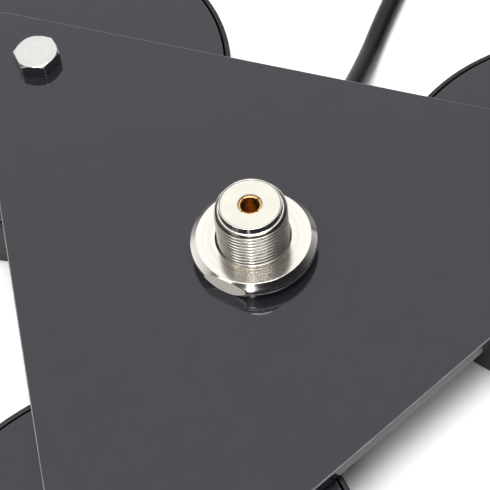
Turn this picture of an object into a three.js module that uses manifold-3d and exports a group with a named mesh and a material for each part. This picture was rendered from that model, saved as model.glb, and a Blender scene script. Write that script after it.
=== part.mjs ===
// Triple-magnet antenna mount base: a triangular plate on three magnets, with a threaded
// coaxial socket in the middle and a lead that leaves under the back edge.
// Millimetres, +Z up, +Y the way the lead leaves. Sizes and places below are from the socket's
// axis on the standing surface, and the finished model is moved so that the origin lies in the
// middle of its footprint.

import * as THREE from 'three';
import { mergeVertices } from 'three/addons/utils/BufferGeometryUtils.js';
import Module from 'manifold-3d';

const wasm = await Module();
wasm.setup();

// ---- driving dimensions ----

const SMALL_GAP = 0.05;
const GAP = 0.3;

// heights above the standing surface
const PLATE_TOP = 18.8;
const PLATE_THICKNESS = 3.5;
const PLATE_BOTTOM = PLATE_TOP - PLATE_THICKNESS;
const CUP_TOP = 14.3;

// plate
const PLATE_INRADIUS = 52.5;
const PLATE_CENTRE = { x: -1.1, y: -0.4 };
const PLATE_CORNER_RADIUS = 6.5;
const BOLT_CIRCLE_RADIUS = 78.2;
const SOCKET_Y = BOLT_CIRCLE_RADIUS / 4;
const SOCKET_HOLE_RADIUS = 8.4;

// magnets
const MAGNET_SITES = [
  { name: 'left', angle: 150, boltTurn: 12.5 },
  { name: 'right', angle: 30, boltTurn: 41 },
  { name: 'front', angle: 270, boltTurn: 27 },
];
const RUBBER_RADIUS = 46.4;
const RUBBER_WALL = 1.2;
const RUBBER_LIP = 1;
const RUBBER_LIP_INNER_RADIUS = 39.5;
const CUP_RADIUS = 44.8;
const CUP_WALL = 2.6;
const CUP_ROOF = 2.8;
const FERRITE_HOLE_RADIUS = 12;

// M6 bolt, washer and lock nut
const THREAD_M6_RADIUS = 3;
const HEX_RADIUS = 5.77;
const HEAD_HEIGHT = 3.3;
const HEAD_FACE_RADIUS = 5;
const BOLT_END = 3.4;
const M6_CLEARANCE_RADIUS = 3.35;
const SPACER_RADIUS = 5.9;
const NUT_HEIGHT = 5;

// socket: 5/8 inch thread with 24 turns to the inch
const THREAD_RADIUS = 7.9375;
const THREAD_PITCH = 25.4 / 24;
const THREAD_DEPTH = 0.62;
const THREAD_TURNS = 10;
const BARREL_TOP = PLATE_TOP + 14.9;
const BARREL_CHAMFER = { across: 1, down: 0.48 };
const COLLAR_TOP = PLATE_TOP + 16.35;
const COLLAR_RADIUS = 6.72;
const COLLAR_FOOT_RADIUS = 6.9;
const COLLAR_INNER_RADIUS = 6.55;
const RING_NUT_HEIGHT = 4.9;
const RING_NUT_RADIUS = 13.9;
const RING_NUT_CHAMFER = 1.27;
const RING_NUT_WAIST = 2.4;
const RING_NUT_FOOT_RADIUS = 13;
const RING_NUT_FLAT = 12.95;
const RING_NUT_TURN = -101;
const DIELECTRIC_RADIUS = 6.45;
const CONTACT_RADIUS = 2.65;
const CONTACT_BORE_RADIUS = 2;
const CONTACT_SLOT = 0.3;
const CONTACT_SLOT_TURNS = [60, 150];

// socket body under the plate
const SEAL_THICKNESS = 0.9;
const BODY_FLANGE = { radius: 12.5, height: 1.9 };
const BODY_RADIUS = 10.5;
const BODY_BOTTOM = 2.8;
const CAP = { radius: 8.6, height: 1 };
const OUTLET_TURN = -4.5;
const OUTLET_HEIGHT = 7.6;
const OUTLET_RADIUS = 4.4;
const OUTLET_END = 16;
const NOSE_RADIUS = 3.05;
const NOSE_END = 25;
const FERRULE = { inner: 3.35, outer: 3.9, start: 16.3, end: 24.5 };
const SLEEVE = { start: 25.3, end: 49, thick: 3.9, thin: 2.95 };

// lead and its coil
const LEAD_RADIUS = 2.5;
const LEAD_SIDES = 10;
const LEAD_STEP = 12;
const COIL = { x: 58, y: 165, bottom: 1.3, inner: 25.5, outer: 50.5, height: 20.2 };
const TIE = { angle: 120, width: 5, thickness: 1, head: 4.5, headHeight: 3.4 };

// The lead rides this far off the surface that it lies on.
const LEAD_LIFT = 0.15;
const FLOOR_Z = LEAD_RADIUS + LEAD_LIFT;
const LEAD_ROUTE = [
  [4.55, 56, 7.3],
  [4.95, 63, 5.7],
  [5.05, 70, 3.9],
  [5.1, 77, FLOOR_Z],
  [5.4, 86, FLOOR_Z],
  [5.9, 95, FLOOR_Z],
  [6.7, 107, FLOOR_Z],
  [7.7, 120, FLOOR_Z],
  [8.5, 131, FLOOR_Z],
  [9.2, 142.5, FLOOR_Z],
];

// plug at the far end of the lead
const PLUG = { x: 113, y: 151, z: 4.7, tilt: 7 };
const TAIL_ROUTE = [
  [102, 195, 11.8],
  [107.6, 189, 8.4],
  [111.3, 180.5, 5.1],
  [112.8, 170.5, 3.2],
  [113, 160.5, 3.5],
  [113, 151.8, 4.6],
];
const BOOT = { length: 25, thin: 3.3, thick: 5.8 };
const PLUG_TUBE = { radius: 5.5, start: 25.3, end: 41 };
const SHOULDER = { radius: 7.2, end: 43.5 };
const PLUG_MOUTH = { radius: 6.4, inner: 5.7, floor: 44.5, end: 54 };
const COUPLING = { radius: 9.2, hole: 6, bore: 7.9, start: 37.5, floor: 40.5, end: 60 };
const INSULATOR = { radius: 5.4, start: 44.8, end: 52 };
const PIN = { radius: 2, start: 45.1, end: 63 };

// ---- finishes ----

const FINISHES = {
  blackPaint: { color: 0x17181a, roughness: 0.28, metalness: 0.1 },
  rubber: { color: 0x151515, roughness: 0.6, metalness: 0 },
  ferrite: { color: 0x2b2b2d, roughness: 0.75, metalness: 0.1 },
  nickel: { color: 0xcfc9be, roughness: 0.2, metalness: 1 },
  zinc: { color: 0xb9bcc0, roughness: 0.35, metalness: 1 },
  white: { color: 0xf2efe6, roughness: 0.45, metalness: 0 },
  gold: { color: 0xd9a441, roughness: 0.22, metalness: 1 },
  seal: { color: 0x202022, roughness: 0.7, metalness: 0 },
  vinyl: { color: 0x1a1b1d, roughness: 0.35, metalness: 0 },
  nylon: { color: 0x1d1d1d, roughness: 0.5, metalness: 0 },
};

// ---- helpers ----

const radians = (degrees) => THREE.MathUtils.degToRad(degrees);

/** Point at a radius and an angle in degrees, in the XY plane. */
function polar(radius, degrees) {
  return new THREE.Vector2(radius, 0).rotateAround(new THREE.Vector2(), radians(degrees));
}

/** Solid of revolution about +Z from [radius, height] pairs, outer side going up. */
function turned(profile, segments) {
  const points = profile.map(([radius, height]) => new THREE.Vector2(radius, height));
  const geometry = new THREE.LatheGeometry(points, segments);
  return geometry.rotateX(Math.PI / 2);
}

/** Ring of revolution: the profile is closed on itself. */
function turnedRing(profile, segments) {
  return turned([...profile, profile[0]], segments);
}

/** Plain disc or rod between two heights. */
function rod(radius, bottom, top, segments) {
  return turned([[0, bottom], [radius, bottom], [radius, top], [0, top]], segments);
}

/** Plain washer or tube between two heights. */
function tube(inner, outer, bottom, top, segments) {
  const profile = [[inner, bottom], [outer, bottom], [outer, top], [inner, top]];
  return turnedRing(profile, segments);
}

/** Hexagonal prism about +Z, a corner on +X. */
function hexagon(radius, bottom, top) {
  const prism = new THREE.CylinderGeometry(radius, radius, top - bottom, 6);
  prism.rotateX(Math.PI / 2);
  prism.rotateZ(Math.PI / 2);
  return prism.translate(0, 0, (bottom + top) / 2);
}

function toSolid(geometry) {
  const bare = geometry.clone();
  bare.deleteAttribute('normal');
  bare.deleteAttribute('uv');
  const merged = mergeVertices(bare, 1e-5);
  return new wasm.Manifold(new wasm.Mesh({
    numProp: 3,
    vertProperties: new Float32Array(merged.attributes.position.array),
    triVerts: new Uint32Array(merged.index.array),
  }));
}

function toGeometry(solid) {
  const { vertProperties, triVerts } = solid.getMesh();
  const geometry = new THREE.BufferGeometry();
  geometry.setAttribute('position', new THREE.BufferAttribute(vertProperties, 3));
  geometry.setIndex(new THREE.BufferAttribute(triVerts, 1));
  geometry.computeVertexNormals();
  return geometry;
}

function addPiece(group, name, geometry, finish) {
  const mesh = new THREE.Mesh(geometry, new THREE.MeshStandardMaterial(FINISHES[finish]));
  mesh.name = name;
  group.add(mesh);
  return mesh;
}

/** Tube of the lead's section along a smooth route through the points. */
function leadAlong(points) {
  const route = new THREE.CatmullRomCurve3(points.map((point) => new THREE.Vector3(...point)));
  const section = new THREE.Shape();
  for (let side = 0; side < LEAD_SIDES; side += 1) {
    const corner = polar(LEAD_RADIUS, (360 / LEAD_SIDES) * side);
    if (side === 0) section.moveTo(corner.x, corner.y);
    else section.lineTo(corner.x, corner.y);
  }
  section.closePath();
  return new THREE.ExtrudeGeometry(section, {
    steps: Math.round(route.getLength() / LEAD_STEP),
    extrudePath: route,
    bevelEnabled: false,
  });
}

// ---- plate ----

/** Equilateral outline with round corners, one side square to +Y. */
function plateOutline() {
  const outline = new THREE.Shape();
  const cornerDistance = 2 * (PLATE_INRADIUS - PLATE_CORNER_RADIUS);
  for (const angle of [30, 150, 270]) {
    const centre = polar(cornerDistance, angle);
    outline.absarc(
      PLATE_CENTRE.x + centre.x,
      PLATE_CENTRE.y + centre.y,
      PLATE_CORNER_RADIUS,
      radians(angle - 60),
      radians(angle + 60),
      false,
    );
  }
  outline.closePath();
  return outline;
}

function roundHole(centre, radius) {
  return new THREE.Path().absarc(centre.x, centre.y, radius, 0, Math.PI * 2, true);
}

function makePlate(model) {
  const outline = plateOutline();
  outline.holes.push(roundHole({ x: 0, y: 0 }, SOCKET_HOLE_RADIUS));
  for (const site of MAGNET_SITES) {
    outline.holes.push(roundHole(polar(BOLT_CIRCLE_RADIUS, site.angle), M6_CLEARANCE_RADIUS));
  }
  const geometry = new THREE.ExtrudeGeometry(outline, {
    depth: PLATE_THICKNESS,
    curveSegments: 10,
    bevelEnabled: false,
  });
  addPiece(model, 'mount_plate', geometry.translate(0, 0, PLATE_BOTTOM), 'blackPaint');
}

// ---- magnets ----

function cupGeometry() {
  const roofBottom = CUP_TOP - CUP_ROOF;
  const rim = RUBBER_LIP + SMALL_GAP;
  return turnedRing([
    [CUP_RADIUS - CUP_WALL, rim],
    [CUP_RADIUS, rim],
    [CUP_RADIUS, CUP_TOP - 0.5],
    [CUP_RADIUS - 0.5, CUP_TOP],
    [M6_CLEARANCE_RADIUS, CUP_TOP],
    [M6_CLEARANCE_RADIUS, roofBottom],
    [CUP_RADIUS - CUP_WALL, roofBottom],
  ], 48);
}

function ferriteGeometry() {
  const outer = CUP_RADIUS - CUP_WALL - GAP;
  const bottom = RUBBER_LIP + 0.4;
  const top = CUP_TOP - CUP_ROOF - SMALL_GAP;
  return turnedRing([
    [FERRITE_HOLE_RADIUS, bottom],
    [outer, bottom],
    [outer, top],
    [FERRITE_HOLE_RADIUS, top],
  ], 48);
}

function rubberGeometry() {
  const inner = RUBBER_RADIUS - RUBBER_WALL;
  const top = CUP_TOP - 0.2;
  return turnedRing([
    [RUBBER_LIP_INNER_RADIUS, 0],
    [RUBBER_RADIUS, 0],
    [RUBBER_RADIUS, top - 0.4],
    [RUBBER_RADIUS - 0.4, top],
    [inner, top],
    [inner, RUBBER_LIP],
    [RUBBER_LIP_INNER_RADIUS, RUBBER_LIP],
  ], 48);
}

/** Bolt with a hexagonal head whose upper corners are turned off. */
function boltGeometry() {
  const seat = PLATE_TOP + SMALL_GAP;
  const top = seat + HEAD_HEIGHT;
  const drop = (HEX_RADIUS - HEAD_FACE_RADIUS) * Math.tan(radians(30));
  const crown = turned([
    [0, seat - 1],
    [HEX_RADIUS + 1, seat - 1],
    [HEX_RADIUS + 1, top - drop - Math.tan(radians(30))],
    [HEAD_FACE_RADIUS, top],
    [0, top],
  ], 36);
  const head = toSolid(hexagon(HEX_RADIUS, seat, top)).intersect(toSolid(crown));
  const shank = toSolid(turned([
    [0, BOLT_END],
    [THREAD_M6_RADIUS - 0.5, BOLT_END],
    [THREAD_M6_RADIUS, BOLT_END + 0.5],
    [THREAD_M6_RADIUS, seat + 1],
    [0, seat + 1],
  ], 16));
  return toGeometry(head.add(shank));
}

/** Lock nut: a hexagon with a round collar below it. */
function lockNutGeometry() {
  const top = CUP_TOP - CUP_ROOF - SMALL_GAP;
  const hex = toSolid(hexagon(HEX_RADIUS, top - NUT_HEIGHT, top));
  const collar = toSolid(rod(HEX_RADIUS - 1, top - NUT_HEIGHT - 1.3, top - 1, 20));
  const bore = toSolid(rod(THREAD_M6_RADIUS + GAP, 0, CUP_TOP, 20));
  return toGeometry(hex.add(collar).subtract(bore));
}

function makeMagnet(model, site) {
  const group = new THREE.Group();
  const centre = polar(BOLT_CIRCLE_RADIUS, site.angle);
  group.position.set(centre.x, centre.y, 0);
  model.add(group);
  const washerBottom = CUP_TOP + SMALL_GAP;
  const washerTop = PLATE_BOTTOM - SMALL_GAP;
  const washer = tube(M6_CLEARANCE_RADIUS, SPACER_RADIUS, washerBottom, washerTop, 20);
  addPiece(group, `magnet_cup_${site.name}`, cupGeometry(), 'blackPaint');
  addPiece(group, `ferrite_ring_${site.name}`, ferriteGeometry(), 'ferrite');
  addPiece(group, `rubber_ring_${site.name}`, rubberGeometry(), 'rubber');
  addPiece(group, `spacer_washer_${site.name}`, washer, 'zinc');
  const bolt = addPiece(group, `hex_bolt_${site.name}`, boltGeometry(), 'nickel');
  const nut = addPiece(group, `lock_nut_${site.name}`, lockNutGeometry(), 'zinc');
  bolt.rotation.z = radians(site.boltTurn);
  nut.rotation.z = radians(site.boltTurn + 17);
}

// ---- socket ----

/** Thread of the barrel, from inside the ring nut up to the chamfer at its top. */
function threadProfile() {
  const crestTop = BARREL_TOP - BARREL_CHAMFER.down;
  const root = THREAD_RADIUS - THREAD_DEPTH;
  const profile = [[root, crestTop - (THREAD_TURNS + 0.5) * THREAD_PITCH]];
  for (let turn = THREAD_TURNS; turn > 0; turn -= 1) {
    const crest = crestTop - turn * THREAD_PITCH;
    profile.push([THREAD_RADIUS, crest]);
    profile.push([root, crest + THREAD_PITCH / 2]);
  }
  profile.push([THREAD_RADIUS, crestTop]);
  return profile;
}

function shellGeometry() {
  const flangeTop = PLATE_BOTTOM - SEAL_THICKNESS - 2 * SMALL_GAP;
  const flangeBottom = flangeTop - BODY_FLANGE.height;
  const barrel = toSolid(turnedRing([
    [CAP.radius + GAP, BODY_BOTTOM],
    [BODY_RADIUS, BODY_BOTTOM],
    [BODY_RADIUS, flangeBottom],
    [BODY_FLANGE.radius, flangeBottom],
    [BODY_FLANGE.radius, flangeTop],
    [THREAD_RADIUS - THREAD_DEPTH, flangeTop],
    ...threadProfile(),
    [THREAD_RADIUS - BARREL_CHAMFER.across, BARREL_TOP],
    [COLLAR_FOOT_RADIUS, BARREL_TOP],
    [COLLAR_RADIUS, COLLAR_TOP - SMALL_GAP],
    [COLLAR_RADIUS - SMALL_GAP, COLLAR_TOP],
    [COLLAR_INNER_RADIUS, COLLAR_TOP],
    [COLLAR_INNER_RADIUS, flangeBottom],
    [CAP.radius + GAP, flangeBottom - 1],
  ], 40));
  return toGeometry(barrel.add(outletSolid()).subtract(outletBore()));
}

/** Lays a solid made along +Z down along the way the lead leaves. */
function alongOutlet(geometry) {
  geometry.rotateX(-Math.PI / 2);
  geometry.rotateZ(radians(OUTLET_TURN));
  return geometry.translate(0, 0, OUTLET_HEIGHT);
}

function outletSolid() {
  return toSolid(alongOutlet(turned([
    [0, BODY_RADIUS - 1.2],
    [OUTLET_RADIUS, BODY_RADIUS - 1.2],
    [OUTLET_RADIUS, OUTLET_END - 0.5],
    [OUTLET_RADIUS - 0.5, OUTLET_END],
    [NOSE_RADIUS, OUTLET_END],
    [NOSE_RADIUS, NOSE_END],
    [0, NOSE_END],
  ], 32)));
}

function outletBore() {
  return toSolid(alongOutlet(rod(NOSE_RADIUS - 0.6, 4, NOSE_END + 1, 24)));
}

/** Round nut with a chamfer above, a taper below and two wrench flats. */
function ringNutGeometry() {
  const foot = PLATE_TOP + SMALL_GAP;
  const top = PLATE_TOP + RING_NUT_HEIGHT;
  const hole = THREAD_RADIUS + GAP / 2;
  const body = toSolid(turnedRing([
    [hole, foot],
    [RING_NUT_FOOT_RADIUS, foot],
    [RING_NUT_RADIUS, foot + RING_NUT_WAIST],
    [RING_NUT_RADIUS, top - RING_NUT_CHAMFER],
    [RING_NUT_RADIUS - RING_NUT_CHAMFER, top],
    [hole + 0.3, top],
    [hole, top - 0.3],
  ], 48));
  const block = new THREE.BoxGeometry(2 * RING_NUT_FLAT, 4 * RING_NUT_FLAT, 4 * RING_NUT_HEIGHT);
  block.translate(0, 0, PLATE_TOP);
  return toGeometry(body.intersect(toSolid(block))).rotateZ(radians(RING_NUT_TURN));
}

/** White insulator round the centre contact. */
function dielectricGeometry() {
  const top = COLLAR_TOP - 0.05;
  const bore = CONTACT_RADIUS + 2 * SMALL_GAP;
  return turnedRing([
    [bore, PLATE_BOTTOM - 2],
    [DIELECTRIC_RADIUS, PLATE_BOTTOM - 2],
    [DIELECTRIC_RADIUS, top],
    [bore, top],
  ], 32);
}

/** Gold tube split by four slots. */
function contactGeometry() {
  const top = COLLAR_TOP - 0.35;
  const foot = PLATE_BOTTOM - 5;
  let contact = toSolid(turned([
    [0, foot],
    [CONTACT_RADIUS - 0.8, foot],
    [CONTACT_RADIUS - 0.8, PLATE_BOTTOM],
    [CONTACT_RADIUS, PLATE_BOTTOM + 0.5],
    [CONTACT_RADIUS, top - 0.2],
    [CONTACT_RADIUS - 0.2, top],
    [CONTACT_BORE_RADIUS + 0.3, top],
    [CONTACT_BORE_RADIUS, top - 0.3],
    [CONTACT_BORE_RADIUS, top - 13],
    [0, top - 13.5],
  ], 24));
  for (const turn of CONTACT_SLOT_TURNS) {
    const slot = new THREE.BoxGeometry(3 * CONTACT_RADIUS, CONTACT_SLOT, 16);
    slot.rotateZ(radians(turn));
    contact = contact.subtract(toSolid(slot.translate(0, 0, top)));
  }
  return toGeometry(contact);
}

function makeSocket(model) {
  const sealTop = PLATE_BOTTOM - SMALL_GAP;
  const sealInner = THREAD_RADIUS + GAP;
  const seal = tube(sealInner, BODY_FLANGE.radius, sealTop - SEAL_THICKNESS, sealTop, 32);
  const cap = rod(CAP.radius, BODY_BOTTOM - 0.4, BODY_BOTTOM - 0.4 + CAP.height, 40);
  const ferrule = tube(FERRULE.inner, FERRULE.outer, FERRULE.start, FERRULE.end, 24);
  const sleeve = turned([
    [0, SLEEVE.start],
    [SLEEVE.thick, SLEEVE.start],
    [SLEEVE.thick, SLEEVE.start + 5],
    [SLEEVE.thin, SLEEVE.end],
    [0, SLEEVE.end],
  ], 24);
  addPiece(model, 'socket_shell', shellGeometry(), 'nickel');
  addPiece(model, 'ring_nut', ringNutGeometry(), 'nickel');
  addPiece(model, 'socket_dielectric', dielectricGeometry(), 'white');
  addPiece(model, 'centre_contact', contactGeometry(), 'gold');
  addPiece(model, 'seal_washer', seal, 'seal');
  addPiece(model, 'body_cap', cap, 'nickel');
  addPiece(model, 'crimp_ferrule', alongOutlet(ferrule), 'nickel');
  addPiece(model, 'strain_relief', alongOutlet(sleeve), 'vinyl');
}

// ---- lead ----

function makeLead(model) {
  const direction = polar(1, 90 + OUTLET_TURN);
  const start = SLEEVE.end + GAP;
  const exit = [direction.x * start, direction.y * start, OUTLET_HEIGHT];
  addPiece(model, 'lead_tube', leadAlong([exit, ...LEAD_ROUTE]), 'vinyl');
  addPiece(model, 'lead_tail', leadAlong(TAIL_ROUTE), 'vinyl');
}

function makeCoil(model) {
  const group = new THREE.Group();
  group.position.set(COIL.x, COIL.y, COIL.bottom);
  model.add(group);
  const corner = LEAD_RADIUS * 0.7;
  const coil = turnedRing([
    [COIL.inner, corner],
    [COIL.inner + corner, 0],
    [COIL.outer - corner, 0],
    [COIL.outer, corner],
    [COIL.outer, COIL.height - corner],
    [COIL.outer - corner, COIL.height],
    [COIL.inner + corner, COIL.height],
    [COIL.inner, COIL.height - corner],
  ], 40);
  addPiece(group, 'lead_coil', coil, 'vinyl');
}

// ---- plug ----

function plugBodyGeometry() {
  return turned([
    [0, PLUG_TUBE.start],
    [PLUG_TUBE.radius, PLUG_TUBE.start],
    [PLUG_TUBE.radius, PLUG_TUBE.end],
    [SHOULDER.radius, PLUG_TUBE.end],
    [SHOULDER.radius, SHOULDER.end],
    [PLUG_MOUTH.radius, SHOULDER.end],
    [PLUG_MOUTH.radius, PLUG_MOUTH.end],
    [PLUG_MOUTH.inner, PLUG_MOUTH.end],
    [PLUG_MOUTH.inner, PLUG_MOUTH.floor],
    [0, PLUG_MOUTH.floor],
  ], 24);
}

function couplingNutGeometry() {
  return turnedRing([
    [COUPLING.hole, COUPLING.start],
    [COUPLING.radius - 1, COUPLING.start],
    [COUPLING.radius, COUPLING.start + 1],
    [COUPLING.radius, COUPLING.end - 0.6],
    [COUPLING.radius - 0.6, COUPLING.end],
    [COUPLING.bore, COUPLING.end],
    [COUPLING.bore, COUPLING.floor],
    [COUPLING.hole, COUPLING.floor],
  ], 32);
}

function makePlug(model) {
  const group = new THREE.Group();
  group.position.set(PLUG.x, PLUG.y, PLUG.z);
  group.rotation.x = radians(90 - PLUG.tilt);
  model.add(group);
  const boot = turned([
    [0, 0],
    [BOOT.thin, 0],
    [BOOT.thick, BOOT.length - 8],
    [BOOT.thick, BOOT.length],
    [0, BOOT.length],
  ], 24);
  const insulator = tube(PIN.radius + GAP, INSULATOR.radius, INSULATOR.start, INSULATOR.end, 24);
  const pin = turned([
    [0, PIN.start],
    [PIN.radius, PIN.start],
    [PIN.radius, PIN.end - 2],
    [PIN.radius - 0.8, PIN.end - 0.4],
    [0, PIN.end],
  ], 16);
  addPiece(group, 'plug_boot', boot, 'vinyl');
  addPiece(group, 'plug_body', plugBodyGeometry(), 'nickel');
  addPiece(group, 'coupling_nut', couplingNutGeometry(), 'nickel');
  addPiece(group, 'plug_insulator', insulator, 'white');
  addPiece(group, 'plug_pin', pin, 'gold');
}

// ---- cable tie ----

function addRectangle(path, left, bottom, right, top) {
  path.moveTo(left, bottom);
  path.lineTo(right, bottom);
  path.lineTo(right, top);
  path.lineTo(left, top);
  path.closePath();
  return path;
}

/** Band round the coil's section, with its square head on top. */
function makeTie(model) {
  const inner = COIL.inner - GAP;
  const outer = COIL.outer + GAP;
  const low = COIL.bottom - GAP;
  const high = COIL.bottom + COIL.height + GAP;
  const wall = TIE.thickness;
  const band = addRectangle(new THREE.Shape(), inner - wall, low - wall, outer + wall, high + wall);
  band.holes.push(addRectangle(new THREE.Path(), inner, low, outer, high));
  const options = { depth: TIE.width, bevelEnabled: false };
  const loop = new THREE.ExtrudeGeometry(band, options);
  loop.translate(0, 0, -TIE.width / 2);
  const head = new THREE.BoxGeometry(TIE.head, TIE.headHeight, TIE.width + 1.5);
  head.translate(outer - TIE.head, high + TIE.headHeight / 2, 0);
  const tie = toGeometry(toSolid(loop).add(toSolid(head)));
  tie.rotateX(Math.PI / 2);
  tie.rotateZ(radians(TIE.angle));
  addPiece(model, 'lead_tie', tie, 'nylon').position.set(COIL.x, COIL.y, 0);
}

const model = new THREE.Group();
model.position.y = SOCKET_Y;
makePlate(model);
for (const site of MAGNET_SITES) {
  makeMagnet(model, site);
}
makeSocket(model);
makeLead(model);
makeCoil(model);
makeTie(model);
makePlug(model);

const part = new THREE.Group();
part.add(model);

export default part;
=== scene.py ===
import math

import bmesh
import bpy
from mathutils import Matrix, Vector


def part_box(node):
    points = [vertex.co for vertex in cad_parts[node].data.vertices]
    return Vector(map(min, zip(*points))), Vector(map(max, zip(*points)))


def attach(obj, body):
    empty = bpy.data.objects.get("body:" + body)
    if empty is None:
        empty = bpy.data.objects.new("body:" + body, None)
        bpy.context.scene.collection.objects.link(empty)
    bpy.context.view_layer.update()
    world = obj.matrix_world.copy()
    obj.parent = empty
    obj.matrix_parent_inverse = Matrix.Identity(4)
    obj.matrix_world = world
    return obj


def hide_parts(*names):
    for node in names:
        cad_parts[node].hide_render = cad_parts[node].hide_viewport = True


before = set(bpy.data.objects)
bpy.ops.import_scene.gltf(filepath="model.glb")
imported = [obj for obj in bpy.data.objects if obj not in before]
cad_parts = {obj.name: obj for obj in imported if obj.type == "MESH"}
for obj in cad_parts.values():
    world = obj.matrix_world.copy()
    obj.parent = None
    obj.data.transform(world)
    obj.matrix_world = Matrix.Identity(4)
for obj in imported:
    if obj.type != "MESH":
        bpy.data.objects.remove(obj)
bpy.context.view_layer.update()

# Looks of a triple-magnet antenna mount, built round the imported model. Sections are drawn in
# millimetres about their own axis, and a matrix puts each one in the row frame in metres.

MM = 0.001
FULL_TURN = 2 * math.pi


# ---- places, from the frame ----

def low(node):
    return Vector(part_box(node)[0])


def high(node):
    return Vector(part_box(node)[1])


def middle(node):
    return (low(node) + high(node)) / 2


def upright(node):
    """Frame of a vertical piece: its axis on the standing surface, in metres per millimetre."""
    centre = middle(node)
    return Matrix.Translation((centre.x, centre.y, 0)) @ Matrix.Scale(MM, 4)


def row_point(x, y, z):
    """Point given in millimetres from the socket's axis on the standing surface."""
    return SOCKET @ Vector((x, y, z))


SOCKET = upright("socket_dielectric")
PLATE_TOP = high("mount_plate").z / MM
PLATE_BOTTOM = low("mount_plate").z / MM
CUP_TOP = high("magnet_cup_left").z / MM
COLLAR_TOP = high("socket_shell").z / MM

# The lead's outlet under the plate: a level axis, turned a little towards +X.
OUTLET_TURN = math.radians(-4.5)
OUTLET_HEIGHT = 7.6
OUTLET_IN_SOCKET = (
    Matrix.Translation((0, 0, OUTLET_HEIGHT))
    @ Matrix.Rotation(OUTLET_TURN, 4, "Z")
    @ Matrix.Rotation(-math.pi / 2, 4, "X")
)
OUTLET = SOCKET @ OUTLET_IN_SOCKET

# The plug's axis, from the thin end of its boot, nose up a little as it lies on the surface.
PLUG_TILT = math.radians(7)
PLUG_START = (113, 151, 4.7)
PLUG = (
    SOCKET
    @ Matrix.Translation(PLUG_START)
    @ Matrix.Rotation(math.pi / 2 - PLUG_TILT, 4, "X")
)


# ---- shader nodes ----

def add_node(tree, kind, *inputs, operation=None, output=0):
    """One output of a new node, its inputs set in order from values or linked from sockets."""
    node = tree.nodes.new("ShaderNode" + kind)
    if operation:
        node.operation = operation
    for socket, value in zip(node.inputs, inputs):
        if isinstance(value, bpy.types.NodeSocket):
            tree.links.new(value, socket)
        else:
            socket.default_value = value
    return node.outputs[output]


def multiplied(tree, first, second):
    return add_node(tree, "Math", first, second, operation="MULTIPLY")


# ---- camera, lights and floor ----

CAMERA_PLACE = (0.081247, -0.172363, 0.311682)
CAMERA_RIGHT = (0.94859, 0.30913, -0.06789)
CAMERA_UP = (-0.21514, 0.78713, 0.57806)
SENSOR_WIDTH = 36
LENS = 120.31

# Level directions from the object: towards the camera, and towards the left of its view.
CAMERA_SIDE = (0.399, -0.917, 0)
CAMERA_LEFT = (-0.917, -0.399, 0)

WORLD_LIGHT = 1.3
WALL_LIGHT = 0.05
FLOOR_HALF = 3.0
FLOOR_DROP = 0.00002


def make_camera():
    """Long lens from above the front right, rolled a little."""
    right, up = Vector(CAMERA_RIGHT), Vector(CAMERA_UP)
    turned = Matrix((right, up, right.cross(up))).transposed().to_4x4()
    camera = bpy.data.objects.new("camera", bpy.data.cameras.new("camera"))
    camera.data.sensor_width = SENSOR_WIDTH
    camera.data.lens = LENS
    camera.data.clip_start = 0.01
    camera.data.clip_end = 20
    camera.matrix_world = Matrix.Translation(CAMERA_PLACE) @ turned
    bpy.context.scene.collection.objects.link(camera)
    bpy.context.scene.camera = camera


def softbox(name, place, aim, size, power):
    """Rectangular area light at a place in metres, turned to face its aim."""
    light = bpy.data.lights.new(name, "AREA")
    light.shape = "RECTANGLE"
    light.size, light.size_y = size
    light.energy = power
    lamp = bpy.data.objects.new(name, light)
    lamp.location = place
    lamp.rotation_euler = (Vector(aim) - Vector(place)).to_track_quat("-Z", "Y").to_euler()
    bpy.context.scene.collection.objects.link(lamp)


def make_world():
    """White studio: bright overhead and behind, dim at the walls and on the camera's side."""
    world = bpy.data.worlds.new("studio")
    world.use_nodes = True
    tree = world.node_tree
    direction = add_node(tree, "TexCoord", output="Generated")

    def along(vector):
        return add_node(
            tree, "VectorMath", direction, vector, operation="DOT_PRODUCT", output="Value"
        )

    up, left, near = Vector((0, 0, 1)), Vector(CAMERA_LEFT), Vector(CAMERA_SIDE)
    facing = along(left * 0.28 - near * 0.5)
    least = WALL_LIGHT * WORLD_LIGHT
    wall = add_node(tree, "MapRange", facing, -0.36, 0.6, least, WORLD_LIGHT)
    band = add_node(tree, "MapRange", along(up), 0.30, 0.42, 1.0, 0.25)
    sideways = along(left)
    width = multiplied(tree, multiplied(tree, sideways, sideways), 0.5)
    rise = add_node(tree, "Math", along(up - near * 0.35), width, operation="SUBTRACT")
    dim = multiplied(tree, wall, band)
    strength = add_node(tree, "MapRange", rise, 0.60, 0.70, dim, WORLD_LIGHT)
    background = tree.nodes["Background"]
    background.inputs["Color"].default_value = (1.0, 1.0, 1.0, 1)
    tree.links.new(strength, background.inputs["Strength"])
    bpy.context.scene.world = world


def make_floor():
    """Pale sweep under the object."""
    mesh = bpy.data.meshes.new("floor")
    corners = [(-1, -1), (1, -1), (1, 1), (-1, 1)]
    points = [(x * FLOOR_HALF, y * FLOOR_HALF, -FLOOR_DROP) for x, y in corners]
    mesh.from_pydata(points, [], [(0, 1, 2, 3)])
    floor = bpy.data.objects.new("floor", mesh)
    bpy.context.scene.collection.objects.link(floor)
    paper = bpy.data.materials.new("floor_paper")
    paper.use_nodes = True
    shader = paper.node_tree.nodes["Principled BSDF"]
    shader.inputs["Base Color"].default_value = (0.93, 0.93, 0.93, 1)
    shader.inputs["Roughness"].default_value = 0.7
    shader.inputs["Specular IOR Level"].default_value = 0.1
    mesh.materials.append(paper)


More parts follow.
